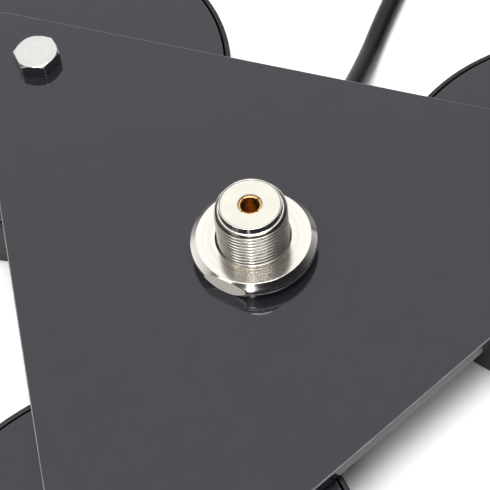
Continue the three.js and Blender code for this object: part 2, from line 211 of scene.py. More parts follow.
def make_studio():
    make_camera()
    make_world()
    make_floor()
    softbox("overhead", (0.04, -0.08, 1.3), (0, 0, 0), (0.7, 0.7), 14)
    softbox("front_left", (-0.40, -0.62, 0.50), (0, 0, 0.02), (0.30, 0.60), 1.1)
    softbox("front_strip", (0.14, -0.80, 0.60), (0, 0, 0.02), (0.09, 0.60), 1.5)
    bpy.context.scene.view_settings.view_transform = "Standard"


# ---- materials ----

# Each colour is a pair that a faint noise moves between.
NICKEL_DARK, NICKEL_LIGHT = (0.70, 0.67, 0.62), (0.82, 0.79, 0.74)
# The milled flats' near-white colour is their paler matte finish with painted light from the front
# left added to it.
MILLED_DARK, MILLED_LIGHT = (0.88, 0.82, 0.74), (0.96, 0.91, 0.82)
BRIGHT_DARK, BRIGHT_LIGHT = (0.61, 0.60, 0.58), (0.65, 0.64, 0.62)
ZINC_DARK, ZINC_LIGHT = (0.52, 0.53, 0.55), (0.66, 0.67, 0.68)
GOLD_DARK, GOLD_LIGHT = (0.52, 0.31, 0.12), (0.66, 0.43, 0.20)
PAINT_DARK, PAINT_LIGHT = (0.0132, 0.0129, 0.0184), (0.0147, 0.0143, 0.0202)
FERRITE_DARK, FERRITE_LIGHT = (0.028, 0.028, 0.030), (0.062, 0.061, 0.060)
WHITE_DARK, WHITE_LIGHT = (0.54, 0.53, 0.465), (0.585, 0.575, 0.505)
VINYL_DARK, VINYL_LIGHT = (0.0045, 0.0045, 0.0055), (0.0065, 0.0065, 0.0075)

# Painted shade in a thread's grooves: share of the plating's colour kept, from below a thread's
# root (0) to its crest (1).
GROOVE_SHADE = ((0.17, 1.0), (0.26, 0.45), (0.50, 0.17), (0.70, 0.2), (0.82, 1.0))
GROOVE_MARGIN = 0.45


def shader_of(name, **sockets):
    """New material, and its principled shader with the uniform values on its own sockets."""
    material = bpy.data.materials.new(name)
    material.use_nodes = True
    shader = material.node_tree.nodes["Principled BSDF"]
    for socket, value in sockets.items():
        shader.inputs[socket.replace("_", " ")].default_value = value
    return material, shader


def noise_at(material, vector, scale, detail=3.0):
    node = material.node_tree.nodes.new("ShaderNodeTexNoise")
    node.inputs["Scale"].default_value = scale
    node.inputs["Detail"].default_value = detail
    material.node_tree.links.new(vector, node.inputs["Vector"])
    return node.outputs["Fac"]


def object_vector(material):
    return add_node(material.node_tree, "TexCoord", output="Object")


def turned_vector(material, axis):
    """Radius and height about a turned piece's axis, so that noise runs in rings round it."""
    tree = material.node_tree
    place = tree.nodes.new("ShaderNodeMapping")
    place.vector_type = "TEXTURE"
    place.inputs["Location"].default_value = axis.to_translation()
    place.inputs["Rotation"].default_value = axis.to_euler()
    split = tree.nodes.new("ShaderNodeSeparateXYZ")
    tree.links.new(object_vector(material), place.inputs["Vector"])
    tree.links.new(place.outputs[0], split.inputs[0])
    x, y, height = split.outputs
    squares = [multiplied(tree, side, side) for side in (x, y)]
    total = add_node(tree, "Math", *squares, operation="ADD")
    radius = add_node(tree, "Math", total, 0.5, operation="POWER")
    return add_node(tree, "CombineXYZ", radius, height)


def tint(material, shader, factor, dark, light):
    """Base colour between two close colours, by the factor."""
    ramp = material.node_tree.nodes.new("ShaderNodeValToRGB")
    ramp.color_ramp.elements[0].position = 0.3
    ramp.color_ramp.elements[0].color = (*dark, 1)
    ramp.color_ramp.elements[1].position = 0.7
    ramp.color_ramp.elements[1].color = (*light, 1)
    material.node_tree.links.new(factor, ramp.inputs["Fac"])
    material.node_tree.links.new(ramp.outputs["Color"], shader.inputs["Base Color"])


def roughen(material, shader, factor, least, most):
    tree = material.node_tree
    spread = add_node(tree, "MapRange", factor, 0.3, 0.7, least, most)
    tree.links.new(spread, shader.inputs["Roughness"])


def emboss(material, shader, factor, strength, depth):
    """Fine relief of the given depth in millimetres."""
    bump = material.node_tree.nodes.new("ShaderNodeBump")
    bump.inputs["Strength"].default_value = strength
    bump.inputs["Distance"].default_value = depth * MM
    material.node_tree.links.new(factor, bump.inputs["Height"])
    material.node_tree.links.new(bump.outputs[0], shader.inputs["Normal"])


def gloss_paint(name, least, most, gleam=0.5):
    """Black stoving paint: clear reflections over a very faint orange peel."""
    material, shader = shader_of(name, IOR=1.52, Specular_IOR_Level=gleam)
    vector = object_vector(material)
    tint(material, shader, noise_at(material, vector, 180), PAINT_DARK, PAINT_LIGHT)
    roughen(material, shader, noise_at(material, vector, 900), least, most)
    emboss(material, shader, noise_at(material, vector, 600, 1.0), 0.05, 0.02)
    return material


def edge_highlight_paint(name, dark, light):
    """The same paint, a little paler and rougher over a rounded edge: a painted highlight along the
    edge.
    """
    material, shader = shader_of(name, IOR=1.52)
    vector = object_vector(material)
    tint(material, shader, noise_at(material, vector, 350), dark, light)
    roughen(material, shader, noise_at(material, vector, 900), 0.25, 0.4)
    emboss(material, shader, noise_at(material, vector, 600, 1.0), 0.05, 0.02)
    return material


def matt_polymer(name, dark, light, least, most, grain=2500):
    """Rubber or nylon: dull, with a fine grain."""
    material, shader = shader_of(name, IOR=1.5, Specular_IOR_Level=0.35)
    vector = object_vector(material)
    tint(material, shader, noise_at(material, vector, 250), dark, light)
    roughen(material, shader, noise_at(material, vector, 700), least, most)
    emboss(material, shader, noise_at(material, vector, grain), 0.25, 0.02)
    return material


def ferrite_ceramic():
    """Pressed and ground magnet: dull dark grey with pale specks."""
    material, shader = shader_of("ferrite_ceramic", IOR=1.6)
    vector = object_vector(material)
    tint(material, shader, noise_at(material, vector, 1600, 6.0), FERRITE_DARK, FERRITE_LIGHT)
    roughen(material, shader, noise_at(material, vector, 300), 0.55, 0.8)
    emboss(material, shader, noise_at(material, vector, 1400, 6.0), 0.35, 0.06)
    return material


def turned_metal(name, axis, dark, light, least, most, relief=0.06, thread=None):
    """Plated metal with the lathe's faint rings under the plating, and painted shade in the grooves
    of a thread when its radii are given.
    """
    material, shader = shader_of(name, Metallic=1.0)
    rings = turned_vector(material, axis)
    tint(material, shader, noise_at(material, rings, 900), dark, light)
    roughen(material, shader, noise_at(material, rings, 2600, 4.0), least, most)
    emboss(material, shader, noise_at(material, rings, 3200, 2.0), relief, 0.01)
    if thread:
        paint_groove_shade(material, shader, rings, *thread)
    return material


def paint_groove_shade(material, shader, rings, root, crest):
    """Painted shade in the grooves of a thread of the given root and crest radii: darker and
    slightly brown towards the root.
    """
    tree = material.node_tree
    radius = add_node(tree, "SeparateXYZ", rings)
    reach = add_node(tree, "MapRange", radius, (root - GROOVE_MARGIN) * MM, crest * MM)
    ramp = tree.nodes.new("ShaderNodeValToRGB")
    ramp.color_ramp.elements[0].color = (1, 1, 1, 1)
    for position, share in GROOVE_SHADE:
        stop = ramp.color_ramp.elements.new(position)
        stop.color = (share, share**1.04, share**1.1, 1)
    tree.links.new(reach, ramp.inputs["Fac"])
    plating = shader.inputs["Base Color"].links[0].from_socket
    shaded = add_node(
        tree, "VectorMath", plating, ramp.outputs["Color"], operation="MULTIPLY"
    )
    tree.links.new(shaded, shader.inputs["Base Color"])


def plated_metal(name, dark, light, least, most, grain=900, relief=0.08, metallic=1.0):
    """Plated or forged metal with an even, slightly cloudy surface."""
    material, shader = shader_of(name, Metallic=metallic)
    vector = object_vector(material)
    tint(material, shader, noise_at(material, vector, 350), dark, light)
    roughen(material, shader, noise_at(material, vector, grain), least, most)
    emboss(material, shader, noise_at(material, vector, grain * 0.6), relief, 0.02)
    return material


def white_plastic(name):
    """Warm white insulator, very slightly translucent."""
    material, shader = shader_of(name, IOR=1.4, Subsurface_Weight=0.15, Subsurface_Scale=0.001)
    vector = object_vector(material)
    tint(material, shader, noise_at(material, vector, 300), WHITE_DARK, WHITE_LIGHT)
    roughen(material, shader, noise_at(material, vector, 800), 0.38, 0.5)
    emboss(material, shader, noise_at(material, vector, 1800), 0.1, 0.01)
    return material


def black_vinyl(name, least, most):
    """Extruded cable jacket: glossy, with a faint unevenness along it."""
    material, shader = shader_of(name, IOR=1.5, Specular_IOR_Level=0.24)
    vector = object_vector(material)
    tint(material, shader, noise_at(material, vector, 120), VINYL_DARK, VINYL_LIGHT)
    roughen(material, shader, noise_at(material, vector, 500), least, most)
    emboss(material, shader, noise_at(material, vector, 260, 2.0), 0.12, 0.06)
    return material


# ---- sections and solids of revolution ----

def even_turns(count):
    return [FULL_TURN * step / count for step in range(count)]


def rounded(corners, steps=4):
    """Section through corners given as (radius, height, rounding), closed on itself."""
    points = []
    for index, (x, y, rounding) in enumerate(corners):
        here = Vector((x, y))
        if rounding == 0:
            points.append((x, y))
            continue
        back = (Vector(corners[index - 1][:2]) - here).normalized()
        ahead = (Vector(corners[(index + 1) % len(corners)][:2]) - here).normalized()
        half = back.angle(ahead) / 2
        centre = here + (back + ahead).normalized() * (rounding / math.sin(half))
        start = here + back * (rounding / math.tan(half)) - centre
        end = here + ahead * (rounding / math.tan(half)) - centre
        sweep = math.atan2(start.x * end.y - start.y * end.x, start.dot(end))
        for step in range(steps + 1):
            spoke = Matrix.Rotation(sweep * step / steps, 2) @ start
            points.append(tuple(centre + spoke))
    return points


def ring_corners(inner, outer, bottom, top, roundings):
    """Corners of a plain ring's section, from the inner lower one round by the outside."""
    corners = [(inner, bottom), (outer, bottom), (outer, top), (inner, top)]
    return [(*corner, rounding) for corner, rounding in zip(corners, roundings)]


def closed_skin(name, columns, place, seam=None):
    """Mesh through columns of (x, y, z) points, each round a section, the columns round an axis.

    seam = (first, end, shift): a thread's rows, which meet themselves one turn further on.
    """
    rows = len(columns[0])

    def partner(row):
        if seam and seam[0] <= row < seam[1]:
            return min(max(row + seam[2], seam[0]), seam[1] - 1)
        return row

    faces = []
    for index in range(len(columns)):
        following = (index + 1) % len(columns)
        across = partner if following == 0 else (lambda row: row)
        for row in range(rows):
            after = (row + 1) % rows
            faces.append(
                (
                    index * rows + row,
                    following * rows + across(row),
                    following * rows + across(after),
                    index * rows + after,
                )
            )
    mesh = bpy.data.meshes.new(name)
    mesh.from_pydata([point for column in columns for point in column], [], faces)
    shape = bmesh.new()
    shape.from_mesh(mesh)
    bmesh.ops.remove_doubles(shape, verts=shape.verts, dist=0.0005)
    bmesh.ops.dissolve_degenerate(shape, dist=0.0002, edges=shape.edges)
    bmesh.ops.recalc_face_normals(shape, faces=shape.faces)
    shape.to_mesh(mesh)
    shape.free()
    mesh.transform(place)
    return mesh


def revolve(name, section_at, turns, place, seam=None):
    """Solid of revolution whose section, a list of (radius, height), may change with the angle."""
    columns = [
        [(r * math.cos(turn), r * math.sin(turn), z) for r, z in section_at(turn)]
        for turn in turns
    ]
    return closed_skin(name, columns, place, seam)


def lathe(name, corners, place, count=96, steps=4):
    section = rounded(corners, steps)
    return revolve(name, lambda turn: section, even_turns(count), place)


def drill_mesh(radius, start, end, place, count):
    return lathe("drill", ring_corners(0, radius, start, end, (0, 0, 0, 0)), place, count)


# Shape of one pitch of a rolled or cut thread: share of the pitch, share of the depth.
THREAD_FORM = [
    (0.0, 0.0), (0.06, 0.03), (0.11, 0.12), (0.33, 0.82), (0.37, 0.93), (0.42, 0.985),
    (0.5, 1.0), (0.58, 0.985), (0.63, 0.93), (0.67, 0.82), (0.89, 0.12), (0.94, 0.03),
]


def thread_rows(turn, bottom, top, root, crest, pitch, limit=None):
    """Points of a right-hand thread at one angle, clamped to its two ends."""
    turns = math.ceil((top - bottom) / pitch) + 2
    rows = []
    for lap in range(turns):
        for share, rise in THREAD_FORM:
            height = bottom + (lap - 1 + share + turn / FULL_TURN) * pitch
            height = min(max(height, bottom), top)
            radius = root + (crest - root) * rise
            if height in (bottom, top):
                radius = root
            if limit:
                radius = min(radius, limit(height))
            rows.append((radius, height))
    return rows


# A hexagon is drawn with a corner just past the start of the turn, in degrees.
HEX_CORNER = 2.4
HEX_STEPS = [-2.4, -1.6, -0.8, 0, 0.8, 1.6, 2.4, 8, 14, 20, 26, 30, 34, 40, 46, 52]


def hex_turns():
    """Angles for a hexagon with rounded corners: close together at the corners."""
    return [
        math.radians(60 * side + step + HEX_CORNER) for side in range(6) for step in HEX_STEPS
    ]


def hex_radius(turn, apothem, rounding=0.3):
    """Radius of a hexagon with rounded corners at an angle of the turn."""
    off = math.radians((math.degrees(turn) - HEX_CORNER + 30) % 60 - 30)
    reach = (apothem - rounding) / math.cos(math.radians(30))
    tangent = math.atan2(rounding / 2, reach + rounding * math.cos(math.radians(30)))
    if abs(off) < tangent:
        return reach * math.cos(off) + math.sqrt(rounding**2 - (reach * math.sin(off)) ** 2)
    return apothem / math.cos(math.radians(30) - abs(off))


def spun(degrees):
    return Matrix.Rotation(math.radians(degrees), 4, "Z")


# ---- pieces ----

def add_piece(mesh, materials, node, body="mount", sharp=32):
    """Object for a mesh that stands for a CAD node: shaded smooth but for its sharp edges."""
    for material in materials:
        mesh.materials.append(material)
    mesh.shade_smooth()
    mesh.set_sharp_from_angle(angle=math.radians(sharp))
    piece = bpy.data.objects.new(mesh.name, mesh)
    bpy.context.scene.collection.objects.link(piece)
    normals = piece.modifiers.new("even_normals", "WEIGHTED_NORMAL")
    normals.keep_sharp = True
    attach(piece, body)
    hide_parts(node)
    return piece


def mark_edges(mesh, above):
    """Second material, the painted edge highlight, on the sloping faces above a height in
    millimetres, third on the walls.
    """
    for face in mesh.polygons:
        if face.center.z > above * MM and 0.5 < face.normal.z < 0.95:
            face.material_index = 1
        elif abs(face.normal.z) <= 0.5:
            face.material_index = 2


def boolean(mesh, tool, operation):
    """Mesh after an exact boolean with another mesh, which is used up."""
    base = bpy.data.objects.new("boolean_base", mesh)
    cutter = bpy.data.objects.new("boolean_tool", tool)
    for made in (base, cutter):
        bpy.context.scene.collection.objects.link(made)
    change = base.modifiers.new("boolean", "BOOLEAN")
    change.operation = operation
    change.solver = "EXACT"
    change.object = cutter
    result = bpy.data.meshes.new_from_object(
        base.evaluated_get(bpy.context.evaluated_depsgraph_get())
    )
    result.name = mesh.name
    bpy.data.objects.remove(base)
    bpy.data.objects.remove(cutter)
    return result


def box_mesh(name, size, place, bevel=0):
    """Box centred on the place, with its edges rounded by the bevel."""
    shape = bmesh.new()
    bmesh.ops.create_cube(shape, size=1, matrix=place @ Matrix.Diagonal((*size, 1)))
    if bevel:
        bmesh.ops.bevel(
            shape, geom=shape.edges[:], offset=bevel, segments=3, affect="EDGES", profile=0.5
        )
    mesh = bpy.data.meshes.new(name)
    shape.to_mesh(mesh)
    shape.free()
    return mesh


def joined(name, meshes):
    """One mesh from several, each keeping its own material number."""
    shape = bmesh.new()
    for number, mesh in enumerate(meshes):
        first = len(shape.faces)
        shape.from_mesh(mesh)
        shape.faces.ensure_lookup_table()
        for face in shape.faces[first:]:
            face.material_index = number
    mesh = bpy.data.meshes.new(name)
    shape.to_mesh(mesh)
    shape.free()
    return mesh


# ---- lead ----

LEAD_RADIUS = 2.5
LEAD_LIFT = 0.15
FLOOR_Z = LEAD_RADIUS + LEAD_LIFT
SLEEVE_END = 49
LEAD_ROUTE = [
    (4.55, 56, 7.3),
    (4.95, 63, 5.7),
    (5.05, 70, 3.9),
    (5.1, 77, FLOOR_Z),
    (5.4, 86, FLOOR_Z),
    (5.9, 95, FLOOR_Z),
    (6.7, 107, FLOOR_Z),
    (7.7, 120, FLOOR_Z),
    (8.5, 131, FLOOR_Z),
    (9.2, 142.5, FLOOR_Z),
]
TAIL_ROUTE = [
    (102, 195, 11.8),
    (107.6, 189, 8.4),
    (111.3, 180.5, 5.1),
    (112.8, 170.5, 3.2),
    (113, 160.5, 3.5),
    (113, 151.8, 4.6),
]
COIL_X, COIL_Y = 58, 165
COIL_BOTTOM = 1.3
COIL_COLUMNS = [48, 43, 38, 33, 28]
COIL_LAYERS = 4
COIL_LAYER_RISE = 5.05
COIL_POINTS_PER_TURN = 16


def coil_turns():
    """Radius and height of every turn: layers wound inwards and outwards in turn."""
    turns = []
    for layer in range(COIL_LAYERS):
        radii = COIL_COLUMNS if layer % 2 == 0 else COIL_COLUMNS[::-1]
        height = COIL_BOTTOM + LEAD_RADIUS + COIL_LAYER_RISE * layer
        turns += [(radius, height) for radius in radii]
    return turns


def coil_route():
    """The coil's winding, clockwise from above: each turn is round, and steps to the next one."""
    turns = coil_turns()
    start, leave = math.radians(180), math.radians(60)
    sweep = FULL_TURN * (len(turns) - 1) + (start - leave)
    count = round(sweep / FULL_TURN * COIL_POINTS_PER_TURN)
    points = []
    for step in range(count + 1):
        swept = sweep * step / count
        lap = int(swept / FULL_TURN)
        share = swept / FULL_TURN - lap
        radius, height = turns[lap]
        if lap + 1 < len(turns):
            blend = min(max((share - 0.72) / 0.28, 0), 1)
            blend = blend * blend * (3 - 2 * blend)
            radius += (turns[lap + 1][0] - radius) * blend
            height += (turns[lap + 1][1] - height) * blend
        angle = start - swept
        points.append(
            (COIL_X + radius * math.cos(angle), COIL_Y + radius * math.sin(angle), height)
        )
    return points


def make_lead():
    """One smooth lead from the strain relief, through its coil, to the plug's boot."""
    inside = OUTLET @ Vector((0, 0, SLEEVE_END - 4))
    leaves = OUTLET @ Vector((0, 0, SLEEVE_END + 0.3))
    enters = PLUG @ Vector((0, 0, 5))
    route = LEAD_ROUTE + coil_route() + TAIL_ROUTE
    points = [inside, leaves] + [row_point(*point) for point in route] + [enters]
    curve = bpy.data.curves.new("lead", "CURVE")
    curve.dimensions = "3D"
    spline = curve.splines.new("BEZIER")
    spline.bezier_points.add(len(points) - 1)
    for knot, point in zip(spline.bezier_points, points):
        knot.co = point
        knot.handle_left_type = knot.handle_right_type = "AUTO"
    spline.resolution_u = 5
    curve.bevel_depth = LEAD_RADIUS * MM
    curve.bevel_resolution = 5
    curve.use_fill_caps = True
    curve.materials.append(black_vinyl("lead_jacket", 0.34, 0.42))
    lead = bpy.data.objects.new("lead", curve)
    bpy.context.scene.collection.objects.link(lead)
    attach(lead, "mount")
    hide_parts("lead_tube", "lead_coil", "lead_tail")
    return lead, leaves


# ---- plate ----

PLATE_CENTRE = Vector((-1.1, -0.4))
PLATE_INRADIUS = 52.5
PLATE_CORNER_RADIUS = 6.5
PLATE_EDGE = 0.4
SOCKET_HOLE_RADIUS = 8.4
BOLT_CIRCLE_RADIUS = 78.2
BOLT_HOLE_RADIUS = 3.35
SITES = {"left": 150, "right": 30, "front": 270}


def spoke(radius, degrees):
    turn = math.radians(degrees)
    return Vector((radius * math.cos(turn), radius * math.sin(turn)))


def plate_outline(inset):
    """Triangle with round corners, moved in by the inset."""
    points = []
    reach = 2 * (PLATE_INRADIUS - PLATE_CORNER_RADIUS)
    for corner in (30, 150, 270):
        centre = PLATE_CENTRE + spoke(reach, corner)
        for step in range(25):
            points.append(centre + spoke(PLATE_CORNER_RADIUS - inset, corner - 60 + 5 * step))
    return points


def plate_hole(centre, radius):
    return lambda inset: [centre + spoke(radius + inset, 5 * step) for step in range(72)]


def edge_levels(bottom, top, rounding, steps=4):
    """Inset and height of the loops up a wall with rounded edges."""
    quarter = [math.radians(90) * step / steps for step in range(steps + 1)]
    lower = [(rounding * (1 - math.sin(q)), bottom + rounding * (1 - math.cos(q))) for q in quarter]
    upper = [(inset, bottom + top - height) for inset, height in reversed(lower)]
    return lower + upper


def make_plate():
    """Plate with rounded edges, its outline and holes as stacked loops closed by flat faces."""
    holes = [plate_hole(Vector((0, 0)), SOCKET_HOLE_RADIUS)]
    holes += [
        plate_hole(spoke(BOLT_CIRCLE_RADIUS, angle), BOLT_HOLE_RADIUS) for angle in SITES.values()
    ]
    shape = bmesh.new()
    rims = {0: [], -1: []}
    levels = edge_levels(PLATE_BOTTOM, PLATE_TOP, PLATE_EDGE)
    for loop_at in [plate_outline] + holes:
        loops = [
            [shape.verts.new((*point, height)) for point in loop_at(inset)]
            for inset, height in levels
        ]
        for lower, upper in zip(loops, loops[1:]):
            for a in range(len(lower)):
                b = (a + 1) % len(lower)
                shape.faces.new((lower[a], lower[b], upper[b], upper[a]))
        for end in rims:
            rim = loops[end]
            rims[end] += [shape.edges.get((rim[a - 1], rim[a])) for a in range(len(rim))]
    for rim in rims.values():
        bmesh.ops.triangle_fill(shape, edges=rim, use_beauty=True)
    bmesh.ops.recalc_face_normals(shape, faces=shape.faces)
    mesh = bpy.data.meshes.new("plate")
    shape.to_mesh(mesh)
    shape.free()
    mesh.transform(SOCKET)
    paints = [
        gloss_paint("plate_gloss", 0.03, 0.06),
        # Painted highlight: paler paint on the plate's rounded top edges.
        edge_highlight_paint("plate_edge_highlight", (0.15, 0.15, 0.155), (0.22, 0.22, 0.225)),
        gloss_paint("plate_side", 0.06, 0.12, 0.22),
    ]
    mark_edges(mesh, PLATE_TOP - PLATE_EDGE)
    add_piece(mesh, paints, "mount_plate")


# ---- magnets and their bolts ----

CUP_RADIUS = 44.8
CUP_WALL = 2.6
CUP_ROOF = 2.8
RING_RADIUS = 46.4
RING_INNER = 45.2
RING_LIP = 1.0
RING_LIP_INNER = 39.5
FERRITE_HOLE = 12
M6_RADIUS = 3
M6_ROOT = 2.45
M6_PITCH = 1
HEX_APOTHEM = 5
HEAD_FACE = 5.0
HEAD_BEARING = 4.4
NUT_FACE = 4.85
CROWN_SLOPE = math.tan(math.radians(30))
BOLT_TURNS = {"left": 12.5, "right": 41, "front": 27}
NUT_EXTRA_TURN = 17
WASHER_RADIUS = 5.9


def cup_mesh(name, place):
    rim, roof = RING_LIP + 0.05, CUP_TOP - CUP_ROOF
    return lathe(
        name,
        [
            (CUP_RADIUS - CUP_WALL, rim, 0.2),
            (CUP_RADIUS, rim, 0.3),
            (CUP_RADIUS, CUP_TOP, 0.5),
            (BOLT_HOLE_RADIUS, CUP_TOP, 0.15),
            (BOLT_HOLE_RADIUS, roof, 0.15),
            (CUP_RADIUS - CUP_WALL, roof, 0.2),
        ],
        place,
        180,
    )


def ferrite_mesh(name, place):
    outer = CUP_RADIUS - CUP_WALL - 0.3
    bottom, top = RING_LIP + 0.4, CUP_TOP - CUP_ROOF - 0.05
    corners = ring_corners(FERRITE_HOLE, outer, bottom, top, (0.5, 0.5, 0.3, 0.3))
    return lathe(name, corners, place, 144)


def rubber_ring_mesh(name, place):
    top = CUP_TOP - 0.2
    return lathe(
        name,
        [
            (RING_LIP_INNER, 0, 0.25),
            (RING_RADIUS, 0, 0.35),
            (RING_RADIUS, top, 0.5),
            (RING_INNER, top, 0.2),
            (RING_INNER, RING_LIP, 0.2),
            (RING_LIP_INNER, RING_LIP, 0.25),
        ],
        place,
        180,
    )


def bolt_mesh(name, place, node):
    """M6 bolt: chamfered point, rolled thread, plain neck and a crowned hexagonal head."""
    end, top = low(node).z / MM, high(node).z / MM
    seat = PLATE_TOP + 0.05
    thread_top = seat - 2.4
    neck = M6_RADIUS - 0.05

    def point_cut(height):
        return min(M6_RADIUS, 2.3 + (height - end))

    def thread_at(turn):
        return thread_rows(turn, end, thread_top, M6_ROOT, M6_RADIUS, M6_PITCH, point_cut)

    def section_at(turn):
        corner = hex_radius(turn, HEX_APOTHEM)
        edge = top - (corner - HEAD_FACE) * CROWN_SLOPE
        return (
            [(0, end)]
            + thread_at(turn)
            + [(neck, thread_top + 0.5), (neck, seat - 0.1), (neck + 0.1, seat)]
            + [(HEAD_BEARING, seat), (corner - 0.12, seat)]
            + [(corner - 0.035, seat + 0.035), (corner, seat + 0.12)]
            + [(corner, edge - 0.09), (corner - 0.03, edge - 0.02), (corner - 0.09, edge + 0.05)]
            + [(HEAD_FACE + 0.1, top - 0.06), (HEAD_FACE + 0.03, top - 0.012)]
            + [(HEAD_FACE - 0.06, top), (HEAD_FACE - 0.4, top), (0, top)]
        )

    seam = (1, 1 + len(thread_at(0)), len(THREAD_FORM))
    return revolve(name, section_at, hex_turns(), place, seam)


def lock_nut_mesh(name, place):
    """Hexagon crowned at both ends over a collar that holds a nylon ring."""
    top = CUP_TOP - CUP_ROOF - 0.05
    waist = top - 5
    foot = waist - 1.3
    hole = M6_RADIUS + 0.3
    collar = HEX_APOTHEM - 0.25

    def section_at(turn):
        corner = hex_radius(turn, HEX_APOTHEM)
        drop = (corner - NUT_FACE) * CROWN_SLOPE
        return [
            (hole + 0.6, foot + 0.5), (hole + 0.6, foot + 0.1), (hole + 0.7, foot),
            (collar - 0.5, foot), (collar - 0.15, foot + 0.15), (collar, foot + 0.5),
            (collar, waist - 0.02), (NUT_FACE, waist), (corner - 0.06, waist + drop - 0.03),
            (corner, waist + drop + 0.05), (corner, top - drop - 0.05),
            (corner - 0.06, top - drop + 0.03), (NUT_FACE, top), (hole + 0.5, top),
            (hole, top - 0.5), (hole, foot + 0.5),
        ]

    nut = revolve(name, section_at, hex_turns(), Matrix())
    low_end, high_end = foot + 0.15, foot + 0.48
    nylon_ring = ring_corners(hole - 0.25, hole + 0.58, low_end, high_end, (0.1, 0.1, 0, 0.1))
    insert = lathe(name + "_insert", nylon_ring, Matrix(), 48)
    mesh = joined(name, [nut, insert])
    mesh.transform(place)
    return mesh


def washer_mesh(name, place, node):
    bottom, top = low(node).z / MM, high(node).z / MM
    roundings = (0.1, 0.15, 0.15, 0.1)
    corners = ring_corners(BOLT_HOLE_RADIUS, WASHER_RADIUS, bottom, top, roundings)
    return lathe(name, corners, place, 72)


def make_magnets():
    steel = gloss_paint("cup_gloss", 0.1, 0.17)
    # Painted highlight: paler paint on the cup's rounded top edge.
    steel_edge_highlight = edge_highlight_paint("cup_edge_highlight", (0.035, 0.035, 0.037), (0.055, 0.055, 0.057))
    ceramic = ferrite_ceramic()
    soft = matt_polymer("ring_rubber", (0.006, 0.006, 0.007), (0.010, 0.010, 0.011), 0.3, 0.4)
    zinc = plated_metal("zinc_plate", ZINC_DARK, ZINC_LIGHT, 0.25, 0.4)
    nylon = matt_polymer("insert_nylon", (0.62, 0.63, 0.62), (0.7, 0.71, 0.7), 0.4, 0.5)
    for site, turn in BOLT_TURNS.items():
        cup, ferrite, ring = f"magnet_cup_{site}", f"ferrite_ring_{site}", f"rubber_ring_{site}"
        bolt, nut, washer = f"hex_bolt_{site}", f"lock_nut_{site}", f"spacer_washer_{site}"
        place = upright(cup)
        bright = turned_metal(
            f"bolt_plate_{site}", upright(bolt), BRIGHT_DARK, BRIGHT_LIGHT, 0.08, 0.16
        )
        bolt_place = place @ spun(turn) @ spun(-HEX_CORNER)
        nut_place = place @ spun(turn + NUT_EXTRA_TURN) @ spun(-HEX_CORNER)
        shell = cup_mesh(f"cup_{site}", place)
        mark_edges(shell, CUP_TOP - 0.5)
        add_piece(shell, [steel, steel_edge_highlight, steel], cup)
        add_piece(ferrite_mesh(f"ferrite_{site}", place), [ceramic], ferrite)
        add_piece(rubber_ring_mesh(f"ring_{site}", place), [soft], ring)
        add_piece(bolt_mesh(f"bolt_{site}", bolt_place, bolt), [bright], bolt)
        add_piece(lock_nut_mesh(f"nut_{site}", nut_place), [zinc, nylon], nut)
        add_piece(washer_mesh(f"washer_{site}", place, washer), [zinc], washer)


# ---- socket ----

THREAD_RADIUS = 7.9375
THREAD_PITCH = 25.4 / 24
THREAD_ROOT = THREAD_RADIUS - 0.62
BARREL_TOP = PLATE_TOP + 14.9
CHAMFER_ACROSS, CHAMFER_DOWN = 1.0, 0.48
COLLAR_RADIUS = 6.72
COLLAR_FOOT = 6.9
COLLAR_INNER = 6.55
DIELECTRIC_RADIUS = 6.45
CONTACT_RADIUS = 2.65
CONTACT_BORE = 2
CONTACT_BORE_DEPTH = 13
CONTACT_TAIL = 1.85
CONTACT_SLOT = 0.3
CONTACT_SLOT_DEPTH = 8
CONTACT_SLOT_TURNS = (60, 150)
FLANGE_TOP = PLATE_BOTTOM - 1
FLANGE_BOTTOM = FLANGE_TOP - 1.9
FLANGE_RADIUS = 12.5
BODY_RADIUS = 10.5
BODY_BOTTOM = 2.8
CAP_RADIUS = 8.6
SEAL_HOLE = 8.24


def barrel_limit(height):
    """Radius of the chamfer that cuts the last threads."""
    over = max(height - (BARREL_TOP - CHAMFER_DOWN), 0)
    return THREAD_RADIUS - CHAMFER_ACROSS * over / CHAMFER_DOWN


